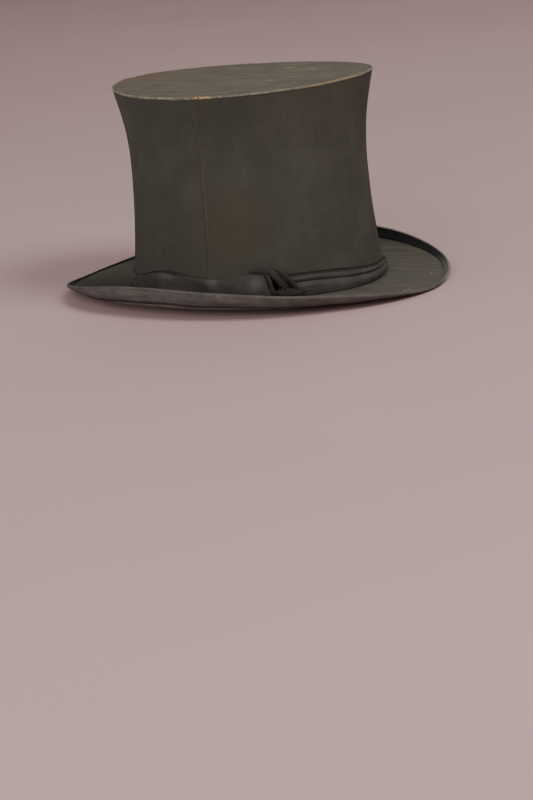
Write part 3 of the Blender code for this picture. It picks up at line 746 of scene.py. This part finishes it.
def make_studio():
    make_light("key", (0.3, 1.9, 2.0), 1.3, 42, (1.0, 0.96, 0.92))
    make_light("front", (2.2, 0.3, 1.0), 1.8, 19, (1.0, 0.98, 0.96))
    make_light("left", (1.9, -1.5, 0.4), 1.2, 15, (1.0, 0.98, 0.97))
    make_light("back", (-1.6, -0.4, 1.8), 1.2, 5, (1.0, 0.97, 0.95))
    world = bpy.data.worlds.new("studio")
    world.use_nodes = True
    background = world.node_tree.nodes["Background"].inputs
    background["Color"].default_value = (1.0, 0.95, 0.93, 1)
    background["Strength"].default_value = 0.28
    bpy.context.scene.world = world

    look = Look("pale_studio_paper", 0.9)
    cloudy = look.noise(0.6, 3)
    grain = look.noise(0.002, 2)
    look.colour = look.mix(look.ramp(cloudy, 0.3, 0.7), (0.585, 0.4, 0.394), (0.622, 0.427, 0.42))
    paper = look.dress(grain, 0.0001)
    floor_z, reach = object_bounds()[0].z - SETTLING, 6.0
    maker = bmesh.new()
    corners = ((-reach, -reach), (reach, -reach), (reach, reach), (-reach, reach))
    maker.faces.new([maker.verts.new((x, y, floor_z)) for x, y in corners])
    add_mesh(maker, "floor", paper)


# ---- the brim ----
def brim_layer(name, inner, low, high, look, nodes, steps=34):
    """One layer of the brim from inner (metres from the crown) to the edge, between two lifts."""
    shares = spread(0, 1, steps)
    section = [(share, high) for share in shares] + [(share, low) for share in reversed(shares)]

    def point(phi, item):
        return brim_point(phi, inner + (brim_width(phi) - inner) * item[0], item[1])

    def laid(phi, item):
        return brim_flat(phi, inner + (brim_width(phi) - inner) * item[0])

    return finish_piece(hoop(section, point, laid=laid), name, look, nodes)


def make_brim():
    half = BOARD_THICKNESS / 2
    cloth_low = half + GAP
    cloth_high = cloth_low + BRIM_CLOTH
    board_inner = -(COVER_CLOTH + GAP + COLLAR_THICKNESS)
    brim_layer("brim_stiffening", board_inner, -half, half, BUCKRAM, ["brim_board"])
    under_inset = LEATHER_INSET - 0.001
    for name, inset, low, high, look, node in (
        ("brim_upper_cloth", COVER_CLOTH, cloth_low, cloth_high, TOP_CLOTH, "brim_top_cloth"),
        ("brim_lower_cloth", under_inset, -cloth_high, -cloth_low, UNDER_CLOTH, "brim_under_cloth"),
    ):
        piece = brim_layer(name, -inset, low, high, look, [node])

    def wire_point(phi, turn):
        along = brim_width(phi) + EDGE_WIRE_RADIUS + GAP + EDGE_WIRE_RADIUS * cos(turn)
        return brim_point(phi, along, EDGE_WIRE_RADIUS * sin(turn))

    wire = hoop(circle(12), wire_point)
    finish_piece(wire, "brim_edge_wire", BRIGHT_STEEL, ["brim_wire"])
    make_binding(cloth_high + GAP)


def make_binding(inner):
    """A ribbon folded over the brim's edge, wider below than above, with slightly puckered edges."""
    outer = inner + BINDING_CLOTH
    fold_in = 2 * EDGE_WIRE_RADIUS + 2 * GAP
    fold_out = fold_in + BINDING_CLOTH
    turns = spread(-pi / 2, pi / 2, 12)
    outside = [(x, -outer) for x in spread(-BINDING_UNDER, 0, 10)[:-1]]
    outside += [(fold_out * cos(t), outer * sin(t)) for t in turns]
    outside += [(x, outer) for x in spread(0, -BINDING_OVER_SIDE, 6)[1:]]
    inside = [(x, inner) for x in spread(-BINDING_OVER_SIDE, 0, 6)[:-1]]
    inside += [(fold_in * cos(t), inner * sin(t)) for t in reversed(turns)]
    inside += [(x, -inner) for x in spread(0, -BINDING_UNDER, 10)[1:]]

    def point(phi, item):
        along, lift = item
        if lift > 0 > along:
            end = BINDING_OVER_END / BINDING_OVER_SIDE
            along *= end + (1 - end) * abs(cos(phi)) ** 1.5
        edge_drift = smooth(-0.006, -BINDING_UNDER, along) if lift < 0 else 0
        base = Vector((cos(phi), sin(phi), 0)) * 0.12
        along += 0.0006 * edge_drift * unevenness(base, 0.02, 7.0)
        pucker = 0.00016 * unevenness(base + Vector((0, 0, along)), 0.004, 5.0)
        pucker += 0.00022 * unevenness(base + Vector((0, 0, along)), 0.016, 6.0)
        if abs(lift) > inner - 1e-6 or along > 0:
            lift += copysign(max(pucker, -0.0002) + 0.0001, lift)
        return brim_point(phi, brim_width(phi) + along, lift)

    ring = hoop(outside + inside, point)
    ribbon = finish_piece(ring, "brim_binding_ribbon", BINDING, ["brim_binding"])


# ---- the crown ----
def around_seam():
    """The usual columns, with closer ones over the seam's ridge."""
    fine = [SEAM_PHI + radians(d) for d in spread(-3.2, 3.2, 40)]
    kept = [phi for phi in PHIS if min(abs(centred(phi - f)) for f in fine) > 0.006]
    return sorted(kept + [f % (2 * pi) for f in fine])


def cover_offset(phi, z):
    """The cloth's soft unevenness, and the ridge of the side seam with its two stitch lines."""
    here = crown_point(phi, z, 0)
    offset = 0.00016 * unevenness(here, 0.022, 1.0)
    offset += 0.00012 * unevenness(Vector((here.x, here.y, 0.15 * here.z)), 0.01, 2.0)
    away = abs(centred(phi - SEAM_PHI)) * BASE_OVAL[1]
    ridge = 1 - smooth(SEAM_HALF, SEAM_HALF + 0.0005, away)
    groove = max(0, 1 - abs(away - SEAM_HALF + 0.0004) / 0.0004)
    return offset + 0.00032 * ridge - 0.0002 * groove


def crown_wall(name, low, high, steps, inset, thickness, look, nodes=(), body="brim_and_base",
               phis=PHIS, outer=None, inner=None):
    """A wall that follows the crown's shape; outer and inner add to its two faces' offsets."""
    levels = spread(low, high, steps)
    section = [(z, -inset, outer) for z in levels]
    section += [(z, -inset - thickness, inner) for z in reversed(levels)]

    def point(phi, item):
        z, offset, extra = item
        return crown_point(phi, z, offset + (extra(phi, z) if extra else 0))

    return finish_piece(hoop(section, point, phis), name, look, nodes, body)


def fold_with_crown(piece):
    """Gives a piece its own copy of its mesh."""
    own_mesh(piece)


def girth(z):
    a, b = crown_oval(z)
    return pi * (3 * (a + b) - sqrt((3 * a + b) * (a + 3 * b)))


def make_cover():
    """The crown's side in three lengths: one on the base, one between the hoops and one on the crown's top.
    """
    phis = around_seam()
    low, first, second, high = 0.0017, BASE_HOOP_HIGH, TOP_HOOP_LOW, CROWN_HEIGHT - 0.0019
    made = []
    for name, start, end, steps, body, nodes in (
        ("crown_cover_lower", low, first, 10, "brim_and_base", []),
        ("crown_cover_middle", first, second, 60, "brim_and_base", ["crown_side_cover"]),
        ("crown_cover_upper", second, high, 8, "crown_top", []),
    ):
        piece = crown_wall(
            name, start, end, steps, 0, COVER_CLOTH, SIDE_CLOTH, nodes, body, phis,
            cover_offset, cover_offset,
        )
        girth((start + end) / 2)
        made.append(piece)
    fold_with_crown(made[1])
    make_seam_stitches(first, second)


def make_seam_stitches(low, high):
    """Two rows of small stitches down the side seam."""
    maker = bmesh.new()
    pitch, length = 0.0026, 0.0017
    for side in (-1, 1):
        phi = SEAM_PHI + side * (SEAM_HALF - 0.0004) / BASE_OVAL[1]
        for k in range(int((high - low) / pitch) - 1):
            middle = low + (k + 0.6) * pitch + length / 2

            def place(share, dive):
                z = middle + share * length / 2
                return crown_point(phi, z, cover_offset(phi, z) + 0.00012 - dive)

            stitch(maker, place, outward(phi), 0.00017)
    stitches = finish_piece(maker, "crown_seam_stitches", BLACK_THREAD)
    fold_with_crown(stitches)


def lining_pucker(phi, z):
    """How far the lining hangs in from the cover: soft, mostly upright folds, none at its ends."""
    here = crown_point(phi, z, 0)
    loose = smooth(0.0243, 0.04, z) * (1 - smooth(0.128, 0.1422, z))
    fold = unevenness(Vector((here.x, here.y, 0.12 * here.z)), 0.012, 4.0)
    return -loose * 0.0008 * max(0, 0.4 + fold)


def make_linings():
    low, high = BASE_HOOP_HIGH + GAP, TOP_HOOP_LOW - GAP
    side = crown_wall(
        "crown_side_lining", low, high, 40, COVER_CLOTH + GAP, LINING_CLOTH, SATIN, ["side_lining"],
        outer=lining_pucker, inner=lining_pucker,
    )
    girth((low + high) / 2)
    fold_with_crown(side)

    inset = COVER_CLOTH + 2 * GAP + HOOP_THICKNESS
    bottom, top = TOP_HOOP_LOW, TOP_HOOP_HIGH + GAP
    walls = [(z, inset, 1.0) for z in spread(bottom, top, 6)]
    lid = [(top, inset, share) for share in spread(0.98, 0.02, 30)]
    under_lid = [(top - LINING_CLOTH, inset + LINING_CLOTH, share) for share in spread(0.02, 0.98, 30)]
    inner_wall = [(z, inset + LINING_CLOTH, 1.0) for z in spread(top - LINING_CLOTH, bottom, 6)]
    section = lid[::-1] + walls[::-1] + inner_wall[::-1] + under_lid[::-1]

    def point(phi, item):
        z, in_by, share = item
        gather = sin(48 * phi) * smooth(0.45, 0.95, share) * (1 - smooth(0.97, 1.0, share))
        here = crown_point(phi, z, -in_by)
        here = Vector((here.x * share, here.y * share, z + saddle(phi, z) * share**2))
        sag = 0.0006 * (1 - share) + (0.00022 * gather + 0.00022 if share < 1 else 0)
        here.z -= sag
        return here

    def laid(phi, item):
        here = crown_point(phi, TOP_HOOP_HIGH, -item[1])
        reach = item[2] + (top - item[0]) / 0.1
        return here.y * reach, here.x * reach

    disc = hoop(section, point, laid=laid, closed=False)
    tip = finish_piece(disc, "crown_tip_lining", SATIN, ["tip_lining"], "crown_top")


def disc_section(low, high, rings):
    """A solid disc's section: (share of the rim, height) from the top's middle over the rim and back."""
    shares = spread(0.02, 1, rings)
    return [(share, high) for share in shares] + [(share, low) for share in reversed(shares)]


def tip_point(phi, share, z, inset):
    """A point of the flat top, at this share of the way from its middle to its rim."""
    rise = z + saddle(phi, CROWN_HEIGHT) * share**2
    half_width, half_length = (share * (half - inset) for half in TOP_OVAL)
    return Vector((half_width * cos(phi), half_length * sin(phi), rise))


def make_tip():
    """The flat top: a stiff board, the cloth over it with small dents, and the corded welt round it."""
    inset = COVER_CLOTH + 2 * GAP
    board_low, board_high = TOP_HOOP_HIGH + 2 * GAP, CROWN_HEIGHT - 0.0013
    board = hoop(
        disc_section(board_low, board_high, 20),
        lambda phi, item: tip_point(phi, item[0], item[1] - 0.0004 * (1 - item[0] ** 4), inset),
        laid=lambda phi, item: (item[0] * 0.1 * sin(phi), item[0] * 0.088 * cos(phi)),
        closed=False,
    )
    finish_piece(board, "tip_stiffening", BUCKRAM, ["tip_board"], "crown_top")

    rim = [half - 0.0019 for half in TOP_OVAL]

    def cloth_point(phi, item):
        share, z = item
        here = tip_point(phi, share, 0, TOP_OVAL[0] - rim[0])
        dents = 0.0002 * unevenness(here, 0.03, 8.0) + 0.0001 * unevenness(here, 0.01, 9.0)
        sunk = 0.0004 * (1 - share**4)
        rounded = 0.0004 * smooth(0.985, 1.0, share) if z > CROWN_HEIGHT - 0.0005 else 0
        return here + Vector((0, 0, z + (dents - 0.0001) * (1 - share**8) - sunk - rounded))

    cloth = hoop(
        disc_section(CROWN_HEIGHT - 0.001, CROWN_HEIGHT, 60),
        cloth_point,
        laid=lambda phi, item: (item[0] * rim[1] * sin(phi), item[0] * rim[0] * cos(phi)),
        closed=False,
    )
    piece = finish_piece(cloth, "crown_tip_cloth", TIP_CLOTH, ["tip_cover"], "crown_top")

    radius = 0.0009

    def welt_point(phi, turn):
        centre = tip_point(phi, 1, 0, 0.0008)
        patched = smooth(-7.5, -5.5, degrees_of(phi)) * (1 - smooth(1.5, 3.0, degrees_of(phi)))
        size = radius * (1 + 0.06 * unevenness(centre, 0.006, 10.0)) + 0.0003 * patched
        sway = 0.0002 * unevenness(centre, 0.018, 11.0)
        z = CROWN_HEIGHT - radius + sway + size * sin(turn)
        return centre + outward(phi) * (size * cos(turn)) + Vector((0, 0, z))

    welt = hoop(circle(14), welt_point)
    finish_piece(welt, "crown_tip_welt", WELT_CLOTH, ["tip_welt"], "crown_top")


# ---- hoops, collar and sweatband ----
def make_base():
    inset = COVER_CLOTH + GAP
    crown_wall(
        "crown_collar", BOARD_THICKNESS / 2 + GAP, 0.014, 6, inset, COLLAR_THICKNESS, BUCKRAM,
        ["brim_collar"],
    )
    crown_wall(
        "base_hoop", BASE_HOOP_LOW, BASE_HOOP_HIGH, 8, inset + COLLAR_THICKNESS + GAP, HOOP_THICKNESS,
        BLACK_STEEL, ["base_ring"],
    )
    crown_wall(
        "top_hoop", TOP_HOOP_LOW, TOP_HOOP_HIGH, 5, inset, HOOP_THICKNESS, BLACK_STEEL,
        ["top_ring"], "crown_top",
    )

    def leather_wave(phi, z):
        here = crown_point(phi, z, 0)
        return -0.0004 * smooth(0.004, 0.024, z) * max(0, 0.5 + unevenness(here, 0.03, 12.0))

    crown_wall(
        "sweatband_strip", LEATHER_LOW, LEATHER_HIGH, 20, LEATHER_INSET, LEATHER_THICKNESS, LEATHER,
        ["sweatband"], outer=leather_wave, inner=leather_wave,
    )
    reed_inset = LEATHER_INSET + LEATHER_THICKNESS / 2
    reed_radius = 0.0008
    reed_height = LEATHER_LOW - GAP - reed_radius

    def reed_point(phi, turn):
        z = reed_height + reed_radius * sin(turn)
        return crown_point(phi, z, -reed_inset + reed_radius * cos(turn))

    reed = hoop(circle(12), reed_point)
    finish_piece(reed, "sweatband_reed_roll", LEATHER, ["sweatband_reed"])

    maker = bmesh.new()
    count, half_turn = 176, 0.0021 / 2 / 0.09
    for middle in circle(count):

        def place(share, dive):
            lift = -LEATHER_INSET - LEATHER_THICKNESS - 0.00008 + dive
            return crown_point(middle + share * half_turn, 0.0016, lift)

        stitch(maker, place, outward(middle), 0.0002)
    finish_piece(maker, "sweatband_stitches", TAN_THREAD)
    make_sweatband_bow()


def make_sweatband_bow():
    """A small flat bow of ribbon sewn to the back of the sweatband: two loops, two tails and a knot."""
    maker = bmesh.new()
    back = pi / 2
    inset = LEATHER_INSET + LEATHER_THICKNESS + 0.0012
    middle_z = 0.0085
    forward = Vector((0, -1, 0))

    def at(shift, z, depth):
        return crown_point(back + shift / 0.092, z, -inset - depth)

    # along the band, up and off the leather, in mm
    loop_marks = [
        (0.6, 0, 0.6), (3.5, 1.2, 1.3), (7.5, 0.8, 1), (7.8, -0.8, 0.6), (3.5, -1.2, 0.3), (0.6, 0, 0.3)
    ]
    tail_marks = [(0.4, -0.4, 0.4), (2.2, -2.6, 0.7), (4, -4.4, 0.3)]
    for side in (-1, 1):
        loop, tail = ([at(side * x * MM, middle_z + z * MM, d * MM) for x, z, d in curve_through(marks, 5)]
                      for marks in (loop_marks, tail_marks))
        widths = [0.0014 + 0.0008 * sin(pi * i / (len(loop) - 1)) for i in range(len(loop))]
        sweep(maker, tube_rings(loop, lambda i: Vector((0, 0, 1)), [0.0003] * len(loop), widths, 12))
        count = len(tail)
        sweep(maker, tube_rings(tail, lambda i: forward, [0.0013] * count, [0.0002] * count, 12))
    knot = [at(0, middle_z + z, 0.0008) for z in spread(-0.0015, 0.0015, 8)]
    widths = [0.0011 * sqrt(max(0.15, 1 - (i / 4 - 1) ** 2)) for i in range(9)]
    sweep(maker, tube_rings(knot, lambda i: forward, widths, [0.8 * w for w in widths], 12))
    finish_piece(maker, "sweatband_ribbon_bow", SATIN, ["sweatband_bow"])


# ---- the hat band, its loose loop and its knot ----
def band_top(phi):
    """The band's upper edge: highest by the knot, lower at the back and front, and uneven all round."""
    degrees = degrees_of(phi)
    top = 0.019 - 0.0052 * smooth(48, 98, degrees) - 0.0045 * smooth(98, 128, degrees)
    top += 0.0065 * smooth(135, 165, degrees)
    top -= 0.006 * smooth(-150, -75, degrees) * (1 - smooth(-5, 36, degrees))
    return top + 0.0003 * unevenness(crown_point(phi, 0, 0), 0.035, 13.0)


def make_band():
    """A soft ribbon laid round the crown with one lengthwise tuck and a faint crease below it."""
    edges = (0.0, 0.42, 1.0)
    outer = []
    for tuck, (start, end) in enumerate(zip(edges, edges[1:])):
        outer += [(start + (end - start) * t, tuck, t) for t in spread(0, 1, 16)[:-1]]
    outer.append((1.0, 1, 1.0))
    section = [("out", *item) for item in outer]
    section += [("in", share, 0, 0) for share in spread(1, 0, 8)]

    def point(phi, item):
        side, share, tuck, t = item
        top = band_top(phi)
        low = BAND_LOW + 0.0001
        base = crown_point(phi, 0, 0)
        shift = 0.045 * unevenness(base, 0.045, 14.0 + tuck) * sin(pi * share)
        z = top + (low - top) * (share + shift)
        if side == "in":
            return crown_point(phi, z, GAP)
        here = crown_point(phi, z, 0)
        bulge = sin(pi * t ** (1.1, 0.7)[tuck]) if 0 < t < 1 else 0
        round_off = sin(pi * min(max(share, 0), 1)) ** 0.25
        soft = 1 + 0.25 * unevenness(here, 0.02, 15.0)
        offset = GAP + 0.0007 + round_off * (0.0004 + 0.0018 * bulge * soft)
        crease = exp(-(((share - 0.7) / 0.05) ** 2)) * max(0, 0.4 + unevenness(base, 0.03, 20.0))
        offset += 0.0002 * unevenness(here, 0.01, 16.0) * bulge - 0.0003 * crease
        return crown_point(phi, z, offset)

    band = finish_piece(hoop(section, point), "hat_band_ribbon", BAND, ["hat_band"])
    girth(0.01) + 0.02


def make_loop():
    """The loose end of the band: a flattened, puckered loop that narrows to a point at the front."""
    columns, count = 110, 40
    left, right = -45.0, 28.4
    rings = []
    for i in range(columns + 1):
        t = i / columns
        degrees = left + (right - left) * t
        hump = exp(-(((degrees + 18) / 12) ** 2))
        lobe = smooth(8, 20, degrees)
        top = 0.018 + 0.0053 * hump + 0.003 * smooth(9, 14, degrees)
        low, middle = 0.0034, 0.011
        u = min(1, (degrees - left + 0.3) / 22)
        taper = sqrt(max(0, 1 - (1 - u) ** 2))
        close = sqrt(max(0, 1 - max(0, (degrees - right + 3.2) / 3.4) ** 2))
        top = middle + (top - middle) * taper
        low = middle + (low - middle) * taper
        half, centre = (top - low) / 2, (top + low) / 2
        thick = (0.0009 + 0.0007 * hump + 0.0009 * lobe) * (0.35 + 0.65 * taper) * (0.3 + 0.7 * close)
        ring = []
        for turn in circle(count):
            c = cos(turn)
            z = centre + half * bent(sin(turn), 0.8)
            lean = 2.4 * smooth(0.7, 1.0, t) * (0.0225 - z) / 0.0205
            phi = radians(degrees + lean)
            here = crown_point(phi, z, 0)
            upper = 0.4 + 0.6 * smooth(0.004, 0.02, z)
            middle_offset = 0.0048 + 0.0022 * hump * upper + 0.0006 * lobe * close
            offset = middle_offset + thick * bent(c, 0.6)
            if c > 0:
                slant = Vector((0.5 * here.x, 0.5 * here.y + 0.3 * here.z, 1.2 * here.z))
                offset += 0.0006 * c * unevenness(slant, 0.009, 17.0) * taper
                offset += 0.0011 * c * unevenness(slant, 0.022, 18.0) * taper
            ring.append(crown_point(phi, z, offset))
        rings.append(ring)
    maker = bmesh.new()
    sweep(maker, rings)
    middle_ring = rings[len(rings) // 2]
    # the loop's upper edge gets the ribbon's painted shadow line, from the loop's start to 64 mm along it
    edge = distances(middle_ring)[count // 4]
    look = band_ribbon("loose_loop_silk", 0.92, edge, 0.0026, 0.0, 0.064)
    loop = finish_piece(maker, "hat_band_loose_loop", look, ["bow_loop"])


def make_knot():
    """The band's knot: diagonal rolls of the same ribbon with deep creases between them."""
    maker = bmesh.new()
    rolls = (
        # phi in degrees, height and offset in mm, half width and half thickness in mm
        [(21.4, 23.4, 5.0, 0.5, 0.4), (24.4, 24.0, 5.8, 1.7, 0.8), (27.4, 24.4, 6.2, 3.1, 1.0),
         (29.8, 23.4, 6.2, 2.8, 1.0), (31.8, 21.2, 5.6, 1.3, 0.7)],
        [(29.2, 21.6, 6.0, 0.8, 0.6), (30.1, 17.8, 6.9, 1.2, 0.9), (30.9, 12.0, 7.0, 1.2, 0.9),
         (31.6, 6.6, 6.2, 1.0, 0.7), (32.1, 3.6, 5.0, 0.6, 0.5)],
        [(29.6, 26.0, 5.0, 0.9, 0.6), (31.6, 22.4, 6.8, 2.0, 1.1), (33.8, 17.2, 7.2, 2.3, 1.3),
         (35.6, 12.4, 6.6, 2.0, 1.2), (36.8, 8.6, 5.4, 1.2, 0.8)],
        [(33.4, 24.0, 4.6, 0.9, 0.6), (36.2, 20.5, 5.8, 1.6, 0.9), (38.6, 15.8, 6.1, 1.8, 1.0),
         (40.8, 11.0, 5.6, 1.5, 0.9), (42.4, 7.4, 4.6, 0.9, 0.6)],
        [(32.2, 7.2, 4.4, 1.0, 0.5), (35.0, 6.3, 4.9, 2.4, 0.6), (38.4, 5.9, 4.9, 2.8, 0.6),
         (42.4, 5.8, 4.3, 2.3, 0.5), (45.4, 6.0, 3.6, 1.0, 0.4)],
    )
    for roll in rolls:
        path = curve_through(roll, 10)
        points = [crown_point(radians(p[0]), p[1] * MM, p[2] * MM) for p in path]
        widths = [p[3] * MM * (1 + 0.2 * unevenness(q, 0.004, 19.0)) for p, q in zip(path, points)]
        thick = [p[4] * MM for p in path]
        outs = [outward(radians(p[0])) for p in path]
        sweep(maker, tube_rings(points, lambda i: outs[i], widths, thick, 18, 0.85))
    finish_piece(maker, "hat_band_knot", KNOT, ["bow_knot"])


# ---- the folding struts ----
def make_struts():
    """The CAD arms, brackets and pins stay, with rounded edges; each spring becomes a finer wire."""
    kinds = ("lower_arm", "upper_arm", "lower_bracket", "upper_bracket", "lower_pin", "upper_pin")
    for number in (1, 2, 3, 4):
        for kind in (*kinds, "knee_pin"):
            node = frame["nodes"][f"{kind}_{number}"]
            node.data.materials.clear()
            node.data.materials.append(BRIGHT_STEEL if "pin" in kind else BLACK_STEEL)
            bevel = node.modifiers.new("rounded", "BEVEL")
            bevel.width = 0.00018
            bevel.segments = 2
            bevel.limit_method = "ANGLE"
            bevel.angle_limit = radians(40)
            bevel.harden_normals = True
        make_spring(number)


def make_spring(number):
    """A torsion spring round the knee's pin, with a leg along each arm."""
    knee_z = (UPPER_PIVOT + LOWER_PIVOT) / 2
    phi = STRUT_PHIS[number - 1]
    out = outward(phi)
    start = Vector((BASE_OVAL[0] * cos(phi), BASE_OVAL[1] * sin(phi), knee_z))
    knee_inset = PIVOT_INSET + ARM_LENGTH * sin(OPEN_LEAN)
    turn = Matrix.Rotation(atan2(out.y, out.x), 4, "Z")
    place = Matrix.Translation(start - out * knee_inset) @ turn
    first = ARM_THICKNESS + GAP / 2 + 2 * GAP + WIRE_RADIUS
    last = first + SPRING_TURNS * SPRING_PITCH
    hook = -(EYE_RADIUS + WIRE_RADIUS + GAP)
    steps = 28 * SPRING_TURNS

    def leg(side, y, reach_y):
        tilt = Matrix.Rotation(-side * OPEN_LEAN, 3, "Y")
        marks = ((0.35, y), (0.75, reach_y), (1, reach_y))
        return [tuple(tilt @ Vector((hook, at_y, side * share * SPRING_LEG))) for share, at_y in marks]

    coil = []
    for i in range(steps + 1):
        angle = pi - 2 * pi * SPRING_TURNS * i / steps
        y = first + (last - first) * i / steps
        coil.append((SPRING_COIL_RADIUS * cos(angle), y, SPRING_COIL_RADIUS * sin(angle)))
    lower_leg = curve_through(leg(-1, first, -ARM_OFFSET)[::-1] + [coil[0]], 8)[:-1]
    upper_leg = curve_through([coil[-1]] + leg(1, last, ARM_OFFSET), 8)[1:]
    points = [place @ Vector(p) for p in lower_leg + coil + upper_leg]
    axis = (place.to_3x3() @ Vector((0, 1, 0))).normalized()
    maker = bmesh.new()
    sizes = [WIRE_RADIUS] * len(points)

    def across(i):
        along = direction(points, i)
        return axis if abs(along.dot(axis)) < 0.9 else Vector((0, 0, 1))

    sweep(maker, tube_rings(points, across, sizes, sizes, 10))
    name = f"strut_spring_wire_{number}"
    spring = finish_piece(maker, name, BRIGHT_STEEL, [f"knee_spring_{number}"], None)
    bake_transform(spring)


make_camera()
make_studio()
make_brim()
make_cover()
make_tip()
make_base()
make_linings()
make_band()
make_loop()
make_knot()
make_struts()
